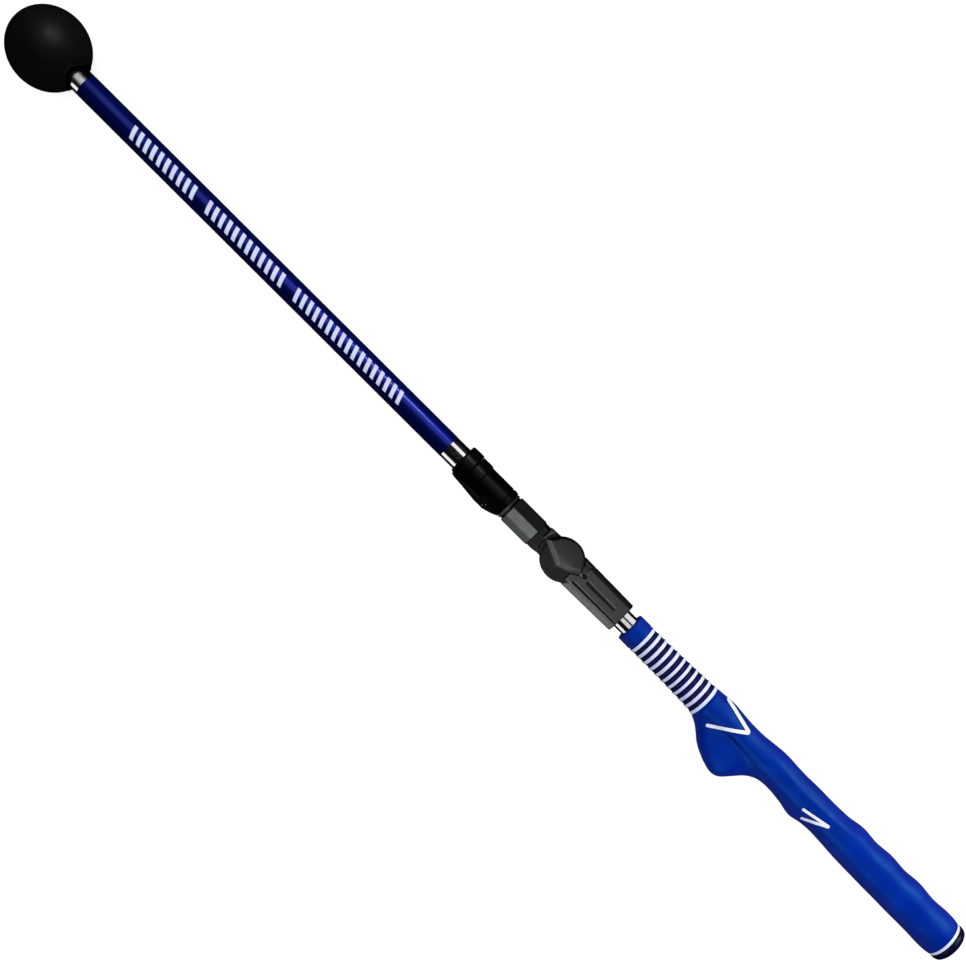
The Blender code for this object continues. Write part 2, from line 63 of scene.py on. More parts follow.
PIVOT = 328.7
TUBE_R = 7.8
BLUE = (424.5, 731.4)          # the lacquered length of the outer tube
RINGS = [260.3 - 5.09 * i for i in range(11)]
RING_W = 1.0                  # half width of a white ring


# ---------------------------------------------------------------- materials
class Nodes:
    """Small helper round one material's node tree."""

    def __init__(self, name):
        self.mat = bpy.data.materials.new(name)
        self.mat.use_nodes = True
        self.tree = self.mat.node_tree
        self.shader = self.tree.nodes["Principled BSDF"]
        self.coords = self.tree.nodes.new("ShaderNodeTexCoord").outputs["Object"]

    def set(self, **values):
        for key, value in values.items():
            self.shader.inputs[key.replace("_", " ")].default_value = value

    def mapped(self, scale):
        node = self.tree.nodes.new("ShaderNodeMapping")
        node.inputs["Scale"].default_value = scale
        self.tree.links.new(self.coords, node.inputs["Vector"])
        return node.outputs["Vector"]

    def noise(self, scale, detail=3.0, roughness=0.5, stretch=None, distortion=0.0):
        node = self.tree.nodes.new("ShaderNodeTexNoise")
        node.inputs["Scale"].default_value = scale
        node.inputs["Detail"].default_value = detail
        node.inputs["Roughness"].default_value = roughness
        node.inputs["Distortion"].default_value = distortion
        self.tree.links.new(self.mapped(stretch) if stretch else self.coords, node.inputs["Vector"])
        return node.outputs["Fac"]

    def voronoi(self, scale, feature="F1"):
        node = self.tree.nodes.new("ShaderNodeTexVoronoi")
        node.feature = feature
        node.inputs["Scale"].default_value = scale
        self.tree.links.new(self.coords, node.inputs["Vector"])
        return node.outputs["Distance"]

    def ramp(self, fac, stops):
        node = self.tree.nodes.new("ShaderNodeValToRGB")
        while len(node.color_ramp.elements) < len(stops):
            node.color_ramp.elements.new(0.5)
        for element, (place, colour) in zip(node.color_ramp.elements, stops):
            element.position = place
            element.color = (*colour, 1.0) if len(colour) == 3 else colour
        self.tree.links.new(fac, node.inputs["Fac"])
        return node.outputs["Color"]

    def span(self, fac, low, high, start=0.0, end=1.0):
        node = self.tree.nodes.new("ShaderNodeMapRange")
        node.inputs["From Min"].default_value = start
        node.inputs["From Max"].default_value = end
        node.inputs["To Min"].default_value = low
        node.inputs["To Max"].default_value = high
        self.tree.links.new(fac, node.inputs["Value"])
        return node.outputs["Result"]

    def mix(self, fac, a, b):
        node = self.tree.nodes.new("ShaderNodeMix")
        node.data_type = "RGBA"
        for socket, value in (("Factor", fac), ("A", a), ("B", b)):
            found = [s for s in node.inputs if s.name == socket and s.enabled]
            target = found[-1] if socket != "Factor" else node.inputs[0]
            if hasattr(value, "is_linked"):
                self.tree.links.new(value, target)
            elif socket == "Factor":
                target.default_value = value
            else:
                target.default_value = (*value, 1.0)
        return [s for s in node.outputs if s.enabled][0]

    def math(self, operation, a, b=0.5):
        node = self.tree.nodes.new("ShaderNodeMath")
        node.operation = operation
        for i, value in enumerate((a, b)):
            if hasattr(value, "is_linked"):
                self.tree.links.new(value, node.inputs[i])
            else:
                node.inputs[i].default_value = value
        return node.outputs[0]

    def axis(self, index):
        node = self.tree.nodes.new("ShaderNodeSeparateXYZ")
        self.tree.links.new(self.coords, node.inputs[0])
        return node.outputs[index]

    def edges(self, low=0.51, high=0.58):
        """0 on flats, 1 on convex edges, from the mesh's own curvature."""
        node = self.tree.nodes.new("ShaderNodeNewGeometry")
        return self.span(node.outputs["Pointiness"], 0.0, 1.0, low, high)

    def colour(self, output):
        self.tree.links.new(output, self.shader.inputs["Base Color"])

    def roughness(self, output):
        self.tree.links.new(output, self.shader.inputs["Roughness"])

    def bump(self, *layers):
        """layers of (height output, distance in metres)"""
        last = None
        for height, distance in layers:
            node = self.tree.nodes.new("ShaderNodeBump")
            node.inputs["Distance"].default_value = distance
            node.inputs["Strength"].default_value = 1.0
            self.tree.links.new(height, node.inputs["Height"])
            if last:
                self.tree.links.new(last, node.inputs["Normal"])
            last = node.outputs["Normal"]
        self.tree.links.new(last, self.shader.inputs["Normal"])


def times(colour, k):
    return tuple(min(c * k, 1.0) for c in colour)


def rubber(name, colour, rough=(0.38, 0.52), grain=0.000012, spread=(0.78, 1.2), specular=0.5, tint=(1, 1, 1)):
    n = Nodes(name)
    n.set(Metallic=0.0)
    n.shader.inputs["Specular IOR Level"].default_value = specular
    n.shader.inputs["Specular Tint"].default_value = (*tint, 1)
    broad = n.noise(38.0, 3.0, 0.55)
    fine = n.noise(420.0, 4.0, 0.6)
    n.colour(n.mix(n.span(fine, 0.0, 0.35, 0.35, 0.75),
                   n.ramp(broad, [(0.3, times(colour, spread[0])), (0.5, colour), (0.72, times(colour, spread[1]))]),
                   times(colour, spread[0] * 0.85)))
    n.roughness(n.span(n.noise(160.0, 4.0, 0.6), rough[0], rough[1], 0.3, 0.7))
    n.bump((n.noise(2600.0, 2.0, 0.5), grain), (n.noise(620.0, 3.0, 0.55), grain * 1.6))
    return n.mat


def plastic(name, colour, rough, grain=0.000008, wear_and_edge_highlight=1.55, specular=0.5, spark=2200.0):
    n = Nodes(name)
    n.shader.inputs["Specular IOR Level"].default_value = specular
    broad = n.ramp(n.noise(55.0, 4.0, 0.6), [(0.3, times(colour, 0.82)), (0.7, times(colour, 1.18))])
    scuffs = n.span(n.noise(260.0, 6.0, 0.7, stretch=(1.0, 6.0, 6.0)), 0.0, 0.5, 0.56, 0.76)
    # convex edges are lightened as a painted highlight, and random scuffs as real wear, both towards the lighter
    # colour
    n.colour(n.mix(n.math("MAXIMUM", n.edges(0.515, 0.6), scuffs), broad, times(colour, wear_and_edge_highlight)))
    n.roughness(n.span(n.noise(140.0, 4.0, 0.6), rough[0], rough[1], 0.3, 0.7))
    n.bump((n.noise(spark, 2.0, 0.5), grain), (n.noise(300.0, 3.0, 0.5), grain * 1.2))
    return n.mat


def metal(name, colour, rough, brushed=True, grain=0.000003):
    n = Nodes(name)
    n.set(Metallic=1.0)
    stretch = (0.12, 1.0, 1.0) if brushed else None
    streaks = n.noise(900.0, 4.0, 0.65, stretch=stretch)
    n.colour(n.ramp(n.noise(60.0, 4.0, 0.6), [(0.3, times(colour, 0.86)), (0.7, colour)]))
    n.roughness(n.span(streaks, rough[0], rough[1], 0.3, 0.7))
    n.bump((streaks, grain), (n.noise(90.0, 2.0, 0.5), grain * 4))
    return n.mat


GRIP_BLUE = rubber("grip_blue_rubber", (0.00005, 0.0100, 0.215), (0.38, 0.50), spread=(0.82, 1.2), specular=0.36, tint=(0.07, 0.62, 1.0))
# painted shade: a darker navy for the grooves between the white rings, and a near-black painted shadow beside each
# ring and round the chevrons
GRIP_GAP_SHADE = rubber("grip_gap_painted_shade_rubber", (0.0006, 0.002, 0.06), (0.4, 0.55), specular=0.15)
GRIP_PAINTED_SHADOW = rubber("grip_painted_shadow_rubber", (0.0006, 0.0008, 0.008), (0.5, 0.65), specular=0.1)
CAP_NAVY = rubber("cap_navy_rubber", (0.0004, 0.001, 0.012), (0.3, 0.42), specular=0.4, tint=(0.6, 0.7, 1.0))
BALL_BLACK = rubber("ball_black_rubber", (0.0056, 0.0053, 0.0066), (0.44, 0.56), grain=0.000016, spread=(0.8, 1.25), specular=0.22)
BUMPER_GREY = rubber("bumper_grey_rubber", (0.028, 0.029, 0.030), (0.45, 0.6))
# painted shade: the darker grey given to the hinge's recesses, grooves and the cheeks below the V edge
HINGE_PAINTED_SHADE = plastic("hinge_painted_shade_plastic", (0.0058, 0.0061, 0.0066), (0.42, 0.56), wear_and_edge_highlight=1.4, specular=0.2)
HINGE_GREY = plastic("hinge_grey_plastic", (0.0185, 0.0205, 0.0222), (0.36, 0.46), wear_and_edge_highlight=1.4, specular=0.6)
CLAMP_BLACK = plastic("clamp_black_plastic", (0.0016, 0.0012, 0.0018), (0.27, 0.37), grain=0.000002, wear_and_edge_highlight=1.6, specular=0.07)
NYLON = plastic("natural_nylon", (0.5, 0.48, 0.43), (0.4, 0.55), wear_and_edge_highlight=1.1)
CHROME = metal("chrome_plate", (0.86, 0.85, 0.84), (0.12, 0.19), grain=0.0000006)
STEEL = metal("zinc_steel", (0.52, 0.52, 0.53), (0.26, 0.42))


def lacquer():
    n = Nodes("navy_lacquer")
    n.set(Metallic=0.75, Coat_Weight=0.22, Coat_Roughness=0.13)
    n.shader.inputs["Specular IOR Level"].default_value = 0.2
    flakes = n.span(n.voronoi(5200.0), 0.0, 1.0, 0.0, 0.6)
    base = n.ramp(n.noise(26.0, 3.0, 0.5), [(0.3, (0.0008, 0.0062, 0.170)), (0.7, (0.0012, 0.0095, 0.220))])
    n.colour(n.mix(n.span(flakes, 0.35, 0.0, 0.0, 0.5), base, (0.002, 0.016, 0.285)))
    n.roughness(n.span(n.noise(210.0, 4.0, 0.6), 0.36, 0.44, 0.3, 0.7))
    n.bump((n.noise(340.0, 2.0, 0.4), 0.000003))
    return n.mat


def paint():
    n = Nodes("white_paint")
    n.set(Coat_Weight=0.15, Coat_Roughness=0.2)
    n.colour(n.mix(n.span(n.noise(900.0, 5.0, 0.65), 0.0, 0.55, 0.5, 0.78),
                   n.ramp(n.noise(90.0, 2.0, 0.5), [(0.3, (0.52, 0.50, 0.76)), (0.5, (0.55, 0.58, 0.79)), (0.7, (0.50, 0.60, 0.78))]),
                   (0.40, 0.45, 0.66)))
    n.roughness(n.span(n.noise(400.0, 4.0, 0.6), 0.34, 0.5, 0.3, 0.7))
    n.bump((n.noise(1500.0, 3.0, 0.55), 0.000012))
    return n.mat


NAVY_LACQUER = lacquer()
WHITE_PAINT = paint()


# ------------------------------------------------------------------ helpers
def new_object(name, verts, faces, materials, smooth=True, indices=None):
    mesh = bpy.data.meshes.new(name)
    mesh.from_pydata([tuple(c * MM for c in v) for v in verts], [], faces)
    for m in materials:
        mesh.materials.append(m)
    if indices is not None:
        mesh.polygons.foreach_set("material_index", indices)
    shape = bmesh.new()
    shape.from_mesh(mesh)
    bmesh.ops.recalc_face_normals(shape, faces=shape.faces)
    shape.to_mesh(mesh)
    shape.free()
    if smooth:
        mesh.shade_smooth()
    mesh.update()
    obj = bpy.data.objects.new(name, mesh)
    scene.collection.objects.link(obj)
    return obj


def sharpen(obj, degrees=32):
    obj.data.shade_smooth()
    obj.data.set_sharp_from_angle(angle=math.radians(degrees))


def fillet(points, radius, steps=4, cyclic=True):
    """Rounds the corners of a profile. points: (x, r) or (x, r, own radius)."""
    out = []
    count = len(points)
    for i, p in enumerate(points):
        r = p[2] if len(p) > 2 else radius
        here = Vector(p[:2])
        if r <= 0 or (not cyclic and i in (0, count - 1)):
            out.append(tuple(here))
            continue
        a = Vector(points[i - 1][:2]) - here
        b = Vector(points[(i + 1) % count][:2]) - here
        if a.length < 1e-9 or b.length < 1e-9:
            out.append(tuple(here))
            continue
        angle = a.angle(b)
        if angle > math.radians(177):
            out.append(tuple(here))
            continue
        reach = min(r / math.tan(angle / 2), a.length * 0.48, b.length * 0.48)
        start, end = here + a.normalized() * reach, here + b.normalized() * reach
        for k in range(steps + 1):
            t = k / steps
            out.append(tuple(start * (1 - t) ** 2 + here * 2 * t * (1 - t) + end * t**2))
    return out


def lathe(name, profile, materials, sides=128, radius=0.25, steps=4, pick=None, turn=None, at=(0, 0, 0), rounded=True):
    """Turns a closed (station, radius) profile. Points on the axis close it. turn maps
    (station, a, b) to (x, y, z); pick gives a face's material index from its station."""
    cyclic = profile[0][1] > 1e-6
    points = fillet(profile, radius, steps, cyclic) if rounded else [p[:2] for p in profile]
    turn = turn or (lambda s, a, b: (s, a, b))
    verts, faces, indices = [], [], []
    rows = []
    for s, r in points:
        if r < 1e-6:
            rows.append([len(verts)])
            verts.append(tuple(np.add(turn(s, 0, 0), at)))
        else:
            rows.append(list(range(len(verts), len(verts) + sides)))
            for j in range(sides):
                t = 2 * math.pi * j / sides
                verts.append(tuple(np.add(turn(s, r * math.cos(t), r * math.sin(t)), at)))
    pairs = list(zip(range(len(rows)), range(1, len(rows))))
    if cyclic:
        pairs.append((len(rows) - 1, 0))
    for i, k in pairs:
        near, far = rows[i], rows[k]
        station = (points[i][0] + points[k][0]) / 2
        index = pick(station, (points[i][1] + points[k][1]) / 2) if pick else 0
        for j in range(sides):
            m = (j + 1) % sides
            if len(near) == 1 and len(far) == 1:
                continue
            if len(near) == 1:
                faces.append((near[0], far[m], far[j]))
            elif len(far) == 1:
                faces.append((near[j], near[m], far[0]))
            else:
                faces.append((near[j], near[m], far[m], far[j]))
            indices.append(index)
    obj = new_object(name, verts, faces, materials, indices=indices)
    sharpen(obj, 38)
    return obj


ALONG_Z = lambda s, a, b: (a, b, s)
ALONG_Y = lambda s, a, b: (b, s, a)


def applied(obj):
    """Bakes an object's modifiers into its mesh."""
    graph = bpy.context.evaluated_depsgraph_get()
    mesh = bpy.data.meshes.new_from_object(obj.evaluated_get(graph))
    old = obj.data
    obj.modifiers.clear()
    obj.data = mesh
    bpy.data.meshes.remove(old)
    return obj


def prism(name, outline, low, high, materials=(), turn=None, bevel=0.0, segments=3):
    """A flat outline of (a, b) points extruded from low to high along local Z."""
    turn = turn or (lambda a, b, c: (a, b, c))
    n = len(outline)
    verts = [turn(a, b, low) for a, b in outline] + [turn(a, b, high) for a, b in outline]
    faces = [tuple(range(n)), tuple(range(n, 2 * n))]
    faces += [(i, (i + 1) % n, n + (i + 1) % n, n + i) for i in range(n)]
    obj = new_object(name, verts, faces, list(materials), smooth=False)
    if bevel:
        step = obj.modifiers.new("bevel", "BEVEL")
        step.width = bevel * MM
        step.segments = segments
        step.limit_method = "ANGLE"
        step.angle_limit = math.radians(28)
        applied(obj)
    return obj


def boolean(obj, other, operation="DIFFERENCE", keep=False):
    step = obj.modifiers.new("b", "BOOLEAN")
    step.operation = operation
    step.solver = "EXACT"
    step.object = other
    applied(obj)
    if not keep:
        bpy.data.objects.remove(other, do_unlink=True)
    return obj


def arc(cx, cy, r, start, end, count):
    return [
        (
            cx + r * math.cos(math.radians(start + (end - start) * i / count)),
            cy + r * math.sin(math.radians(start + (end - start) * i / count)),
        )
        for i in range(count + 1)
    ]


def moulded(obj, voxel, smooth=6, factor=0.5):
    """Turns a hard-edged solid into one even skin with softly rounded moulded edges."""
    step = obj.modifiers.new("remesh", "REMESH")
    step.mode = "VOXEL"
    step.voxel_size = voxel * MM
    step.use_smooth_shade = True
    step = obj.modifiers.new("smooth", "SMOOTH")
    step.factor = factor
    step.iterations = smooth
    applied(obj)
    obj.data.shade_smooth()
    return obj


def painted(obj, *materials):
    obj.data.materials.clear()
    for m in materials:
        obj.data.materials.append(m)
    return obj


def put(obj, body, *nodes, slot=None):
    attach(obj, body)
    if nodes:
        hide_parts(*nodes)
    return obj


def cad_copy(name, node):
    source = frame["nodes"][node]
    mesh = source.data.copy()
    obj = bpy.data.objects.new(name, mesh)
    scene.collection.objects.link(obj)
    obj.matrix_world = source.matrix_world.copy()
    shape = bmesh.new()
    shape.from_mesh(mesh)
    bmesh.ops.remove_doubles(shape, verts=shape.verts, dist=0.000002)
    bmesh.ops.recalc_face_normals(shape, faces=shape.faces)
    shape.to_mesh(mesh)
    shape.free()
    return obj


# --------------------------------------------------------------------- grip
GRIP_START, GRIP_END = 5.2, 271.5
LOBE_SPREAD = math.radians(25)
# station, radius on the -Y side, radius on the +Y side without lobe, lobe height
GRIP_STATIONS = np.array((
    (5.2, 12.3, 12.5, 0.0), (13.0, 13.1, 13.3, 0.0), (27.0, 12.6, 12.9, 0.0), (41.0, 13.4, 12.9, 0.0),
    (52.0, 12.8, 12.7, 0.0), (64.0, 13.3, 12.6, 0.0), (75.0, 12.7, 12.4, 0.0), (87.0, 13.2, 12.1, 0.0),
    (98.0, 11.9, 11.4, 0.0), (108.0, 11.4, 10.9, 0.0), (116.0, 11.5, 10.9, 0.5), (124.5, 11.6, 10.8, 2.2),
    (133.0, 11.4, 10.6, 0.9), (141.0, 11.7, 10.4, 0.1), (148.0, 12.1, 10.3, 0.1), (154.0, 12.0, 10.3, 1.2),
    (160.0, 11.4, 10.4, 4.8), (165.5, 10.8, 10.5, 10.8), (170.5, 10.5, 10.6, 16.0), (175.5, 10.5, 10.7, 17.5),
    (181.0, 10.7, 10.7, 16.5), (188.0, 11.3, 10.8, 13.7), (194.0, 11.8, 10.8, 10.4), (199.0, 11.6, 10.8, 6.2),
    (204.0, 11.1, 10.7, 2.6), (210.0, 10.8, 10.6, 0.5), (220.0, 10.4, 10.4, 0.0), (232.0, 10.0, 10.1, 0.0),
    (245.0, 9.7, 9.9, 0.0), (258.0, 9.5, 9.8, 0.0), (271.5, 9.4, 9.6, 0.0),
))


def along(column, x):
    table = GRIP_STATIONS
    x = min(max(x, table[0][0]), table[-1][0])
    i = int(np.searchsorted(table[:, 0], x, side="right")) - 1
    i = min(max(i, 0), len(table) - 2)

    def slope(k):
        a, b = max(k - 1, 0), min(k + 1, len(table) - 1)
        return (table[b][column] - table[a][column]) / (table[b][0] - table[a][0])

    h = table[i + 1][0] - table[i][0]
    t = (x - table[i][0]) / h
    return (
        (2 * t**3 - 3 * t**2 + 1) * table[i][column] + (t**3 - 2 * t**2 + t) * h * slope(i)
        + (-2 * t**3 + 3 * t**2) * table[i + 1][column] + (t**3 - t**2) * h * slope(i + 1)
    )


def bell(v, width):
    return math.exp(-((v / width) ** 2))


def smoothstep(a, b, v):
    t = min(max((v - a) / (b - a), 0.0), 1.0)
    return t * t * (3 - 2 * t)


def wrap(a):
    return math.atan2(math.sin(a), math.cos(a))


def grip_radius(x, angle, detail=True):
    """Radius of the grip's skin; angle 0 is +Y (the lobe), 90 degrees is the front, +Z."""
    minus, plus, lobe = along(1, x), along(2, x), max(along(3, x), 0.0)
    side = 0.5 + 0.5 * math.cos(angle)
    base = (minus + (plus - minus) * side) * (1 - 0.03 * math.sin(angle) ** 2)
    r = base + 0.984 * lobe * math.exp(-((wrap(angle) / LOBE_SPREAD) ** 2))
    if not detail:
        return r
    # a soft palm swell on the front, towards -Y, that narrows to a ridge beside the small chevron
    palm = smoothstep(14, 30, x) * (1 - smoothstep(74, 96, x))
    r += 0.30 * palm * bell(wrap(angle - math.radians(122)), math.radians(30))
    r -= 0.25 * palm * bell(wrap(angle - math.radians(84)), math.radians(20))
    ridge = smoothstep(66, 88, x) * (1 - smoothstep(138, 172, x))
    centre = float(np.interp(x, (70, 86, 108, 130, 150, 168), (126, 122, 111, 106, 115, 130)))
    r += 0.48 * ridge * bell(wrap(angle - math.radians(centre)), math.radians(13))
    # finger hollows round the -Y side
    waves = smoothstep(14, 24, x) * (1 - smoothstep(96, 110, x))
    r += 0.22 * waves * math.cos(2 * math.pi * (x - 14) / 24.0) * bell(wrap(angle - math.radians(150)), math.radians(48))
    # a dished thumb seat on the lobe's front, with a crease along its lower side
    r -= 1.15 * bell(x - 182, 14) * bell(wrap(angle - math.radians(54)), math.radians(17))
    return r


def ring_depth(x):
    """The grooves between the raised white rings."""
    if x > RINGS[0] + 3.2 or x < RINGS[-1] - 3.2:
        return 0.0
    d = min(abs(x - c) for c in RINGS)
    inside = 0.42 * smoothstep(RING_W - 0.1, RING_W + 0.55, d)
    fade = 1.0
    if x > RINGS[0]:
        fade = 1 - smoothstep(RINGS[0] + 1.6, RINGS[0] + 3.0, x)
    if x < RINGS[-1]:
        fade = 1 - smoothstep(-RINGS[-1] + 1.6, -RINGS[-1] + 3.0, -x)
    return inside * fade


def make_grip():
    stations = list(np.arange(GRIP_START + 2.6, 204.0, 1.0)) + list(np.arange(204.0, 265.0, 0.23))
    stations += list(np.arange(265.0, GRIP_END - 1.2, 0.8))
    stations = [GRIP_START, GRIP_START + 0.25, GRIP_START + 0.9, GRIP_START + 1.6, GRIP_START + 2.0, GRIP_START + 2.3] + stations
    sides = 144
    verts, faces, indices, rows = [], [], [], []

    def row(x, shrink=0.0):
        rows.append((x, list(range(len(verts), len(verts) + sides))))
        for j in range(sides):
            t = 2 * math.pi * j / sides
            r = grip_radius(x, t) - ring_depth(x) - shrink
            verts.append((x, r * math.cos(t), r * math.sin(t)))

    for x in stations:
        # a shallow groove at each side of the butt ring
        d = abs(x - (GRIP_START + 2.15))
        row(x, 0.25 if x == GRIP_START else (0.22 * bell(d, 0.22)))
    for x, shrink in ((GRIP_END - 0.6, 0.0), (GRIP_END - 0.3, 0.08), (GRIP_END - 0.08, 0.28), (GRIP_END, 0.55)):
        row(x, shrink)
    for bore in ((GRIP_END, 6.7), (GRIP_START, 6.7)):
        rows.append((bore[0], list(range(len(verts), len(verts) + sides))))
        for j in range(sides):
            t = 2 * math.pi * j / sides
            verts.append((bore[0], bore[1] * math.cos(t), bore[1] * math.sin(t)))
    order = rows + [rows[0]]
    for a, b in zip(order, order[1:]):
        x = (a[0] + b[0]) / 2
        index = 0
        if GRIP_START <= x < GRIP_START + 2.1 and a[0] != b[0]:
            index = 1
        for c in RINGS:
            if abs(x - c) < RING_W:
                index = 1
        # painted shade: the gaps between the rings take the darker navy, with a near-black painted shadow 2 mm wide on
        # the butt side of each ring
        if index == 0 and RINGS[-1] < x < RINGS[0]:
            nearest = min(RINGS, key=lambda c: abs(x - c))
            index = 3 if (c := nearest) and 0 < nearest - x < 2.0 else 2
        for j in range(sides):
            k = (j + 1) % sides
            faces.append((a[1][j], a[1][k], b[1][k], b[1][j]))
            indices.append(index)
    obj = new_object("grip_skin", verts, faces, [GRIP_BLUE, WHITE_PAINT, GRIP_GAP_SHADE, GRIP_PAINTED_SHADOW], indices=indices)
    sharpen(obj, 50)
    return put(obj, "grip", "grip_sleeve", slot="blue_rubber")


make_grip()


def front_angle(x, y):
    """The angle at which the grip's front skin passes through this y."""
    low, high = 0.02, math.pi - 0.02
    for _ in range(40):
        middle = (low + high) / 2
        if grip_radius(x, middle) * math.cos(middle) > y:
            low = middle
        else:
            high = middle
    return (low + high) / 2


def stroke(name, start, end, width, lift, thick, material, taper=0.0):
    """A painted stroke on the grip's skin from (x, y) to (x, y), with round ends."""
    start, end = np.array(start, float), np.array(end, float)
    length = np.linalg.norm(end - start)
    direction = (end - start) / length
    normal = np.array((-direction[1], direction[0]))
    count, across = 56, 8
    verts, faces = [], []
    for layer in (0, 1):
        for i in range(count + 1):
            u = i / count * length
            edge = min(u, length - u)
            half = width / 2 * (1 - taper * (u / length))
            half *= math.sqrt(max(1 - max(0.0, 1 - edge / (width / 2)) ** 2, 0.02))
            for j in range(across + 1):
                w = -1 + 2 * j / across
                p = start + direction * u + normal * half * w
                angle = front_angle(p[0], p[1])
                crown = lift * (1 - 0.25 * w * w)
                r = grip_radius(p[0], angle) + (crown if layer else crown - thick)
                verts.append((p[0], r * math.cos(angle), r * math.sin(angle)))
    base = (count + 1) * (across + 1)

    def at(layer, i, j):
        return layer * base + i * (across + 1) + j

    for i in range(count):
        for j in range(across):
            faces.append((at(1, i, j), at(1, i + 1, j), at(1, i + 1, j + 1), at(1, i, j + 1)))
            faces.append((at(0, i, j), at(0, i, j + 1), at(0, i + 1, j + 1), at(0, i + 1, j)))
    for i in range(count):
        for j, flip in ((0, 1), (across, -1)):
            quad = (at(0, i, j), at(0, i + 1, j), at(1, i + 1, j), at(1, i, j))
            faces.append(quad[::flip])
    for j in range(across):
        for i, flip in ((0, -1), (count, 1)):
            quad = (at(0, i, j), at(0, i, j + 1), at(1, i, j + 1), at(1, i, j))
            faces.append(quad[::flip])
    obj = new_object(name, verts, faces, [material])
    sharpen(obj, 45)
    return put(obj, "grip", slot="blue_rubber")


BIG_TIP, BIG_A, BIG_B = (177.6, -5.3), (200.5, -11.0), (199.0, 9.6)
SMALL_TIP, SMALL_A, SMALL_B = (105.0, 0.9), (124.0, 4.5), (119.9, 9.0)
for label, tip, ends, width in (("big", BIG_TIP, (BIG_A, BIG_B), 2.2), ("small", SMALL_TIP, (SMALL_A, SMALL_B), 1.8)):
    for k, end in enumerate(ends):
        # painted shade: a near-black stroke 1 mm wider than the paint lies under each white chevron as the shade of a
        # groove round it
        stroke(f"chevron_{label}_{k}_recess", tip, end, width + 1.0, 0.03 + 0.015 * k, 0.3, GRIP_PAINTED_SHADOW)
        stroke(f"chevron_{label}_{k}_paint", tip, end, width, 0.13 + 0.03 * k, 0.3, WHITE_PAINT)

put(lathe(
    "butt_cap_shell",
    [(24.0, 0), (24.0, 4.8), (23.2, 5.5), (5.05, 5.5), (5.05, 12.2, 0.15), (4.3, 12.55, 0.6), (2.6, 12.45, 1.2),
     (0.9, 11.9, 1.2), (0.0, 10.7, 0.9), (0.0, 0)],
    [CAP_NAVY], sides=144, radius=0.3, steps=6,
), "grip", "butt_cap", slot="dark_blue_rubber")

put(lathe("lower_tube_skin", [(305.0, 6.5), (9.0, 6.5), (9.0, 5.7), (305.0, 5.7)], [CHROME], radius=0.2),
    "grip", "lower_tube", slot="chrome")

# -------------------------------------------------------------------- hinge
ACROSS_X = lambda a, b, c: (c, a, b)


def plate_edge(x):
    """The raised plate's V-shaped edge on the +Y side."""
    return float(np.interp(x - PIVOT, (-13.4, -8.4, 0.4, 8.2, 15.4), (-1.4, 1.7, 5.2, 1.8, -1.6)))


def crown_plate(arm):
    """A wide sloping bevel along the plate's V edge, and a top that falls away towards -Y."""
    verts = arm.data.vertices
    near = [v for v in verts if v.co.z > 0 and math.hypot(v.co.x / MM - PIVOT, v.co.y / MM) < 8]
    top = max(v.co.z for v in near) / MM
    for v in verts:
        x, y, z = (c / MM for c in v.co)
        if z < top - 1.3 or abs(x - PIVOT) > 15.6 or y < -13.5:
            continue
        inside = plate_edge(x) - y
        if inside < -1.2:
            continue
        z = min(z, top - 0.40 * max(0.0, 2.7 - inside))
        z -= 0.85 * min(max((-y - 0.5) / 12.0, 0.0), 1.0) ** 1.5
        v.co.z = z * MM
    arm.data.update()


def make_lower_arm():
    arm = cad_copy("hinge_lower_arm_moulding", "hinge_lower_arm")
    # sink groove down the front and back faces
    for z0, z1 in ((8.1, 12.0), (-12.0, -8.1)):
        boolean(arm, prism("groove", arc(286.5, -0.8, 0.9, 90, 270, 8) + arc(308.0, -0.8, 0.9, -90, 90, 8), z0, z1))
    # the small round mark beyond the plate's point
    boolean(arm, prism("mark", arc(312.6, -2.5, 1.3, 0, 350, 18), 7.2, 12.0))
    # mould parting groove along both sides, and fine ribs at the tube's mouth
    for y in (-11.3, 11.3):
        boolean(arm, prism("parting", [(270, -0.16), (316, -0.16), (316, 0.16), (270, 0.16)], -0.5, 0.5,
                           turn=lambda a, b, c, y=y: (a, y + c * 1.0, b)))
    # a fine rail groove where the front meets the sloping +Y face
    boolean(arm, prism("rail", [(279.6, 4.5), (315.5, 4.5), (315.5, 5.4), (279.6, 5.4)], 8.0, 12.0))
    moulded(arm, 0.27, 5)
    painted(arm, HINGE_GREY, HINGE_PAINTED_SHADE)
    crown_plate(arm)
    # painted shade: the cheeks' round faces outside the raised plate take the darker shade colour, and the groove, the
    # round mark and the rail take it too
    for face in arm.data.polygons:
        x, y, z = (c / MM for c in face.center)
        r = math.hypot(x - PIVOT, y)
        if r < 14.2 and x > PIVOT - 13.2 and abs(z) < 8.4 and (z < 0 or y > plate_edge(x) or y < -6.0 or r > 12.9):
            face.material_index = 1
        in_groove = 285.5 < x < 309.0 and abs(y + 0.8) < 0.8 and 7.6 < abs(z) < 8.5
        in_mark = math.hypot(x - 312.6, y + 2.5) < 1.35 and 6.5 < z < 8.5
        in_rail = 279.3 < x < 316.0 and abs(y - 5.0) < 0.62 and 7.4 < z < 8.62
        if in_groove or in_mark or in_rail:
            face.material_index = 1
    return put(arm, "grip", "hinge_lower_arm", slot="grey_plastic")


def make_upper_arm():
    arm = cad_copy("hinge_upper_arm_moulding", "hinge_upper_arm")
    moulded(arm, 0.25, 5)
    painted(arm, HINGE_GREY, HINGE_PAINTED_SHADE)
    # painted shade: the neck and the tongue between the cheeks take the darker shade colour
    for face in arm.data.polygons:
        x, y, z = (c / MM for c in face.center)
        if x < 350.4 and not (y < -0.9 and abs(z) > 7.2 and x < 346.2):
            face.material_index = 1
    return put(arm, "upper_link", "hinge_upper_arm", slot="grey_plastic")


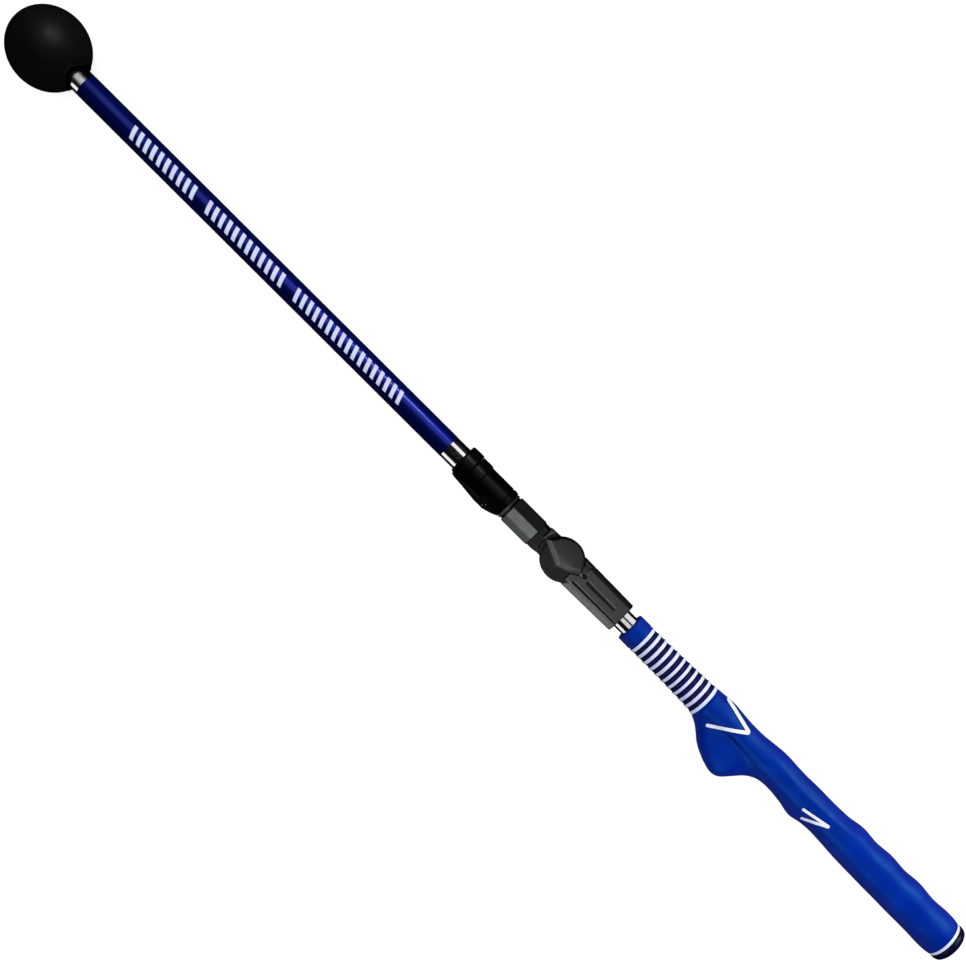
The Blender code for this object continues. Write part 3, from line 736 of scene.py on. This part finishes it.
make_lower_arm()
make_upper_arm()
# painted shade: the groove at the bumper's back, below station 372.95, is black
put(lathe("bumper_ring", [(374.65, 8.75, 0.5), (373.1, 8.8, 0.4), (372.9, 8.1, 0.2), (371.95, 8.1, 0.2), (371.95, 6.3), (374.65, 6.3)],
          [BUMPER_GREY, CLAMP_BLACK], radius=0.1, pick=lambda s, r: 1 if s < 372.95 else 0),
    "upper_link", "bumper_washer", slot="bumper_rubber")
put(lathe("inner_tube_skin", [(736.0, 6.2), (352.6, 6.2), (352.6, 5.4), (736.0, 5.4)], [CHROME], radius=0.15),
    "upper_link", "inner_tube", slot="chrome")

at = (PIVOT, 0, 0)
bolt = lathe("pivot_bolt_turned", [(6.3, 0), (6.3, 3.0), (-6.9, 3.0, 0.1), (-6.9, 5.2, 0.2), (-9.0, 5.2, 0.7), (-9.4, 4.6, 0.3),
                                   (-9.4, 0)], [STEEL], sides=72, turn=ALONG_Z, at=at)
boolean(bolt, prism("hex", arc(PIVOT, 0, 2.4, 0, 300, 5), -12.0, -7.4))
sharpen(bolt, 32)
put(bolt, "grip", "pivot_bolt", slot="steel")

# ------------------------------------------------------------ outer tube
# painted shade: the length under the clamp, below station 410.9, is black so no chrome shows in the gaps between the
# clamp's parts
put(lathe(
    "outer_tube_skin",
    [(764.0, 7.7), (410.9, 7.7, 0), (391.0, 7.7), (391.0, 7.05), (764.0, 7.05)],
    [CHROME, CLAMP_BLACK], sides=144, radius=0.2, pick=lambda s, r: 1 if s < 410.9 else 0,
), "extension", "outer_tube", slot="navy_lacquer")
put(lathe(
    "tube_lacquer",
    [(BLUE[1], 7.8, 0.06), (BLUE[0], 7.8, 0.06), (BLUE[0], 7.6), (BLUE[1], 7.6)],
    [NAVY_LACQUER], sides=144, radius=0.02,
), "extension", slot="navy_lacquer")


def make_marks():
    """Generic slanted bars printed in white round the front of the tube."""
    verts, faces = [], []

    def bar(x0, x1, slant, half):
        rows, cols = 14, 5
        for layer, r in ((0, 7.79), (1, 7.855)):
            for i in range(rows + 1):
                v = -1 + 2 * i / rows
                angle = math.radians(90) + v * half / TUBE_R
                shift = slant * v
                for j in range(cols + 1):
                    x = x0 + (x1 - x0) * j / cols + shift
                    verts.append((x, r * math.cos(angle), r * math.sin(angle)))
        size = (rows + 1) * (cols + 1)
        start = len(verts) - 2 * size

        def at(layer, i, j):
            return start + layer * size + i * (cols + 1) + j

        for i in range(rows):
            for j in range(cols):
                faces.append((at(1, i, j), at(1, i + 1, j), at(1, i + 1, j + 1), at(1, i, j + 1)))
                faces.append((at(0, i, j), at(0, i, j + 1), at(0, i + 1, j + 1), at(0, i + 1, j)))
        for i in range(rows):
            faces.append((at(0, i, 0), at(0, i + 1, 0), at(1, i + 1, 0), at(1, i, 0)))
            faces.append((at(0, i + 1, cols), at(0, i, cols), at(1, i, cols), at(1, i + 1, cols)))
        for j in range(cols):
            faces.append((at(0, 0, j + 1), at(0, 0, j), at(1, 0, j), at(1, 0, j + 1)))
            faces.append((at(0, rows, j), at(0, rows, j + 1), at(1, rows, j + 1), at(1, rows, j)))

    for low, high, count in ((464.5, 553.3, 17), (563.6, 627.3, 12), (637.6, 690.5, 10)):
        pitch = (high - low + 2.7) / count
        for i in range(count):
            bar(low + pitch * i, low + pitch * (i + 1) - 2.7, 1.4, 4.2)
    obj = new_object("tube_bars", verts, faces, [WHITE_PAINT])
    sharpen(obj, 45)
    return put(obj, "extension", slot="navy_lacquer")


make_marks()

# ------------------------------------------------------------ clamp
LX, LY, LW = 385.0, 10.0, 5.4
clamp = lathe(
    "clamp_barrel",
    [(404.72, 10.25, 0.5), (397.2, 10.3, 0.5), (396.5, 9.55, 0.3), (379.4, 9.5, 0.3), (378.9, 9.05, 0.15), (378.4, 9.05, 0.15),
     (377.9, 9.6, 0.3), (374.8, 9.3, 0.7), (374.8, 6.45), (390.7, 6.45), (390.7, 7.95), (404.72, 7.95)],
    [CLAMP_BLACK], sides=160, radius=0.3,
)
ear = [(LX - 9.4, 4.0), (LX + 5.4, 4.0), (LX + 5.4, 8.0)] + arc(LX, LY, 2.3, 40, 118, 14) + [(LX - 4.6, 11.1), (LX - 7.4, 10.15), (LX - 9.4, 9.2)]
for low, high in ((LW + 0.4, 8.1), (-8.1, -LW - 0.4)):
    boolean(clamp, prism("ear", ear, low, high, bevel=0.3), "UNION")
bed = lambda: prism("bed", [(LX - 3.4, 8.4), (425, 8.4), (425, 30), (LX - 3.4, 30)], -LW - 0.4, LW + 0.4)
boolean(clamp, bed())
boolean(clamp, prism("pocket", [(LX - 3.4, 7.0), (LX + 4.2, 7.0), (LX + 4.2, 30), (LX - 3.4, 30)], -LW - 0.38, LW + 0.38))
boolean(clamp, prism("window", [(LX - 5.3, 6.2), (LX + 5.3, 6.2), (LX + 5.3, 20), (LX - 5.3, 20)], -4.5, 4.5))
boolean(clamp, prism("pinhole", arc(LX, LY, 1.12, 0, 345, 23), -20, 20))
sharpen(clamp, 34)
painted(clamp, CLAMP_BLACK)
put(clamp, "extension", "clamp_body", slot="black_gloss")

collar = lathe(
    "clamp_collar_ring",
    [(413.8, 10.3, 0.9), (412.6, 10.85, 0.6), (405.5, 10.9, 0.5), (404.85, 10.5, 0.3), (404.85, 7.95), (413.8, 7.95)],
    [CLAMP_BLACK], sides=160, radius=0.3,
)
boolean(collar, bed())
sharpen(collar, 34)
painted(collar, CLAMP_BLACK)
put(collar, "extension", "clamp_collar", slot="black_gloss")

lever_outline = (
    arc(LX, LY - 0.1, 2.45, 72, 292, 30)
    + [(LX + 4.0, 8.44), (LX + 26.2, 8.44), (LX + 27.2, 9.0), (LX + 27.0, 10.2), (LX + 24.0, 10.75), (LX + 18.0, 11.1),
       (LX + 12.0, 11.75), (LX + 6.0, 12.3)]
)
lever = prism("clamp_lever_arm", lever_outline, -LW, LW, [CLAMP_BLACK])
step = lever.modifiers.new("bevel", "BEVEL")
step.width = 0.9 * MM
step.segments = 5
step.limit_method = "ANGLE"
step.angle_limit = math.radians(35)
applied(lever)
boolean(lever, prism("pinhole", arc(LX, LY, 1.12, 0, 345, 23), -20, 20))
sharpen(lever, 34)
painted(lever, CLAMP_BLACK)
put(lever, "lever", "clamp_lever", slot="black_gloss")

# ------------------------------------------------------------ ball
BX, BA, BB = 763.2, 26.8, 24.78


def ball_profile():
    last = math.degrees(math.acos((739.6 - BX) / BA))
    outer = [(BX + BA * math.cos(math.radians(last * i / 64)), BB * math.sin(math.radians(last * i / 64)), 0)
             for i in range(65)]
    r = outer[-1][1]
    return outer + [
        (738.75, r - 0.75, 0), (738.5, r - 1.3, 0), (738.75, r - 1.75, 0), (739.6, r - 2.0, 0.3),
        (746.0, 8.8, 0.6), (748.0, 8.05, 0.4), (764.5, 8.05), (764.5, 13.2), (782.8, 13.2), (782.8, 0),
    ]


ball = lathe("ball_skin", ball_profile(), [BALL_BLACK], sides=160, radius=0.3)
# a round relief in the mouth's lip, front and back, opens the neck to view
for low, high in ((4.0, 20.0), (-20.0, -4.0)):
    boolean(ball, prism("relief", arc(733.6, 0, 8.5, 0, 356, 89), low, high))
sharpen(ball, 38)
painted(ball, BALL_BLACK)
put(ball, "extension", "ball_cover", slot="black_matte")

# ------------------------------------------------ carried-over CAD nodes
for node, finish in {
    "lower_arm_pin": STEEL, "upper_arm_pin": STEEL, "pivot_nut": STEEL, "disc_spring": STEEL, "lever_pin": CLAMP_BLACK,
    "ball_weight": STEEL, "ball_screw": STEEL, "friction_washer_front": NYLON, "friction_washer_rear": NYLON,
    "pivot_bush": NYLON, "guide_bush": NYLON, "guide_liner": NYLON, "clamp_pad": NYLON, "ball_end_plug": NYLON,
}.items():
    obj = frame["nodes"][node]
    if not obj.material_slots:
        obj.data.materials.append(finish)
    for s in obj.material_slots:
        s.material = finish


# -------------------------------------------------------------------- stage
def stage_material():
    n = Nodes("pale_floor")
    n.colour(n.ramp(n.noise(3.0, 4.0, 0.6), [(0.3, (0.93, 0.93, 0.93)), (0.7, (0.95, 0.95, 0.95))]))
    n.roughness(n.span(n.noise(20.0, 3.0, 0.5), 0.65, 0.8, 0.3, 0.7))
    n.bump((n.noise(300.0, 3.0, 0.5), 0.00001))
    return n.mat


floor_mesh = bpy.data.meshes.new("floor")
floor_mesh.from_pydata([(-0.92, -1.15, 0), (1.68, -1.15, 0), (1.68, 1.15, 0), (-0.92, 1.15, 0)], [], [(0, 1, 2, 3)])
floor_mesh.materials.append(stage_material())
floor = bpy.data.objects.new("floor", floor_mesh)
scene.collection.objects.link(floor)
floor.location = (0.013, 0, -0.01345)
floor.rotation_euler = (0, math.atan2(24.85 - 13.45, 763.2 - 13.0), 0)
floor.visible_glossy = False

world = bpy.data.worlds.new("studio")
scene.world = world
world.use_nodes = True
world.node_tree.nodes["Background"].inputs["Color"].default_value = (0.97, 0.98, 1.0, 1)
world.node_tree.nodes["Background"].inputs["Strength"].default_value = 1.12
# a pale backdrop for the camera; the lights alone shape the stick
world.cycles_visibility.diffuse = False
world.cycles_visibility.glossy = False


def area(name, direction, distance, size, power, glossy=True, about=(0.395, 0, 0), only=None, shadows=None, colour=(1, 1, 1)):
    data = bpy.data.lights.new(name, "AREA")
    data.shape = "RECTANGLE"
    data.size, data.size_y = size
    data.energy = power
    data.color = colour
    obj = bpy.data.objects.new(name, data)
    scene.collection.objects.link(obj)
    away = Vector(direction).normalized()
    obj.location = Vector(about) + away * distance
    # local X of the light lies along the stick
    z = away
    x = (Vector((1, 0, 0)) - z * z.x).normalized()
    y = z.cross(x)
    obj.rotation_euler = Matrix((x, y, z)).transposed().to_euler()
    obj.visible_glossy = glossy
    if only:
        obj.light_linking.receiver_collection = linked[only]
    if shadows:
        obj.light_linking.blocker_collection = linked[shadows]
    return obj


# Each light is set for one part of the stick, as a studio flags its lights.
linked = {}
for key in ("object", "shaft", "marks", "chrome", "ball", "grip", "hinge", "hinge_low", "floor"):
    linked[key] = bpy.data.collections.new("lit_" + key)
for obj in list(scene.objects):
    if obj.type != "MESH":
        continue
    if obj is floor:
        linked["floor"].objects.link(obj)
        continue
    name = obj.name
    if not name.startswith(("hinge_", "grip_")):
        linked["object"].objects.link(obj)
    if name.startswith(("grip_", "chevron_", "butt_")):
        linked["grip"].objects.link(obj)
    elif name.startswith(("hinge_", "bumper_", "pivot_")):
        linked["hinge"].objects.link(obj)
        if name.startswith("hinge_lower"):
            linked["hinge_low"].objects.link(obj)
    elif name == "tube_bars":
        linked["marks"].objects.link(obj)
    elif name in ("outer_tube_skin", "inner_tube_skin", "lower_tube_skin"):
        linked["chrome"].objects.link(obj)
    elif name.startswith("ball_"):
        linked["ball"].objects.link(obj)
    else:
        linked["shaft"].objects.link(obj)


def toward(degrees):
    """Straight up turned this far towards -Y."""
    return (0.0, -math.sin(math.radians(degrees)), math.cos(math.radians(degrees)))


area("shaft_broad", toward(24), 0.9, (1.3, 0.8), 4.0, about=(0.60, 0, 0), only="shaft")
area("shaft_line", toward(40), 0.9, (0.17, 0.10), 2.0, about=(0.475, 0, 0), only="shaft")
area("marks_top", toward(10), 1.0, (1.0, 0.8), 13.0, about=(0.58, 0, 0), glossy=False, only="marks")
area("grip_key", toward(53), 0.9, (0.42, 0.7), 6.0, about=(-0.22, 0, 0), only="grip")
area("grip_side", toward(62), 1.0, (0.6, 0.5), 4.0, about=(0.16, 0, 0), glossy=False, only="grip")
area("grip_top", toward(4), 1.0, (0.8, 0.8), 9.5, about=(0.14, 0, 0), glossy=False, only="grip")
area("lobe_edge", toward(-42), 0.8, (0.12, 0.36), 1.5, about=(-0.02, 0, 0), only="grip")
area("hinge_mid", toward(-22), 0.8, (0.5, 0.34), 3.5, about=(0.30, 0, 0), only="hinge", colour=(0.93, 0.985, 1.0))
area("hinge_side", toward(-80), 0.7, (0.5, 0.30), 0.8, about=(0.30, 0, 0), only="hinge")
area("hinge_bevel", toward(-46), 0.8, (0.5, 0.18), 0.8, about=(0.30, 0, 0), only="hinge")
area("hinge_facet", toward(-86), 0.6, (0.3, 0.25), 0.75, about=(0.26, 0, 0), only="hinge_low")
area("ball_key", toward(34), 0.7, (0.20, 0.20), 1.7, about=(0.82, 0, 0), only="ball")
area("chrome_near_side", toward(66), 0.8, (0.34, 0.95), 1.0, about=(0.16, 0, 0), only="chrome")
area("chrome_near_top", toward(-4), 0.8, (0.30, 0.56), 0.46, about=(0.168, 0, 0), only="chrome")
area("chrome_clamp", toward(43), 0.8, (0.22, 0.44), 0.36, about=(0.445, 0, 0), only="chrome")
area("chrome_far", toward(4), 0.8, (0.30, 1.7), 1.25, about=(1.046, 0, 0), only="chrome")
area("chrome_low", toward(-92), 0.8, (1.3, 0.50), 2.4, about=(0.62, 0, 0), only="chrome")
area("soft_top", (0.0, -0.1, 1.0), 1.6, (2.2, 2.2), 9.0, glossy=False, only="object")
area("floor_wash", (0.0, 0.0, 1.0), 1.9, (3.2, 3.2), 76.0, glossy=False, only="floor", shadows="floor")
area("floor_soft", (0.0, 0.0, 1.0), 1.9, (3.2, 3.2), 24.0, glossy=False, only="floor")


# ------------------------------------------------------------------- camera
DISTANCE = 0.9
PLANE = 0.6000 * MM * 966          # width of the picture at the stick's axis
camera_data = bpy.data.cameras.new("camera")
camera_data.sensor_width = 36.0
camera_data.lens = 36.0 * DISTANCE / PLANE
camera = bpy.data.objects.new("camera", camera_data)
scene.collection.objects.link(camera)
roll = math.radians(-0.145)
up = Vector((1, -1, 0)).normalized()
right = Vector((-1, -1, 0)).normalized()
turn_z = Matrix.Rotation(roll, 3, "Z")
right, up = turn_z @ right, turn_z @ up
camera.location = (0.3955, 0.0002, DISTANCE)
camera.rotation_euler = Matrix((right, up, Vector((0, 0, 1)))).transposed().to_euler()
scene.camera = camera
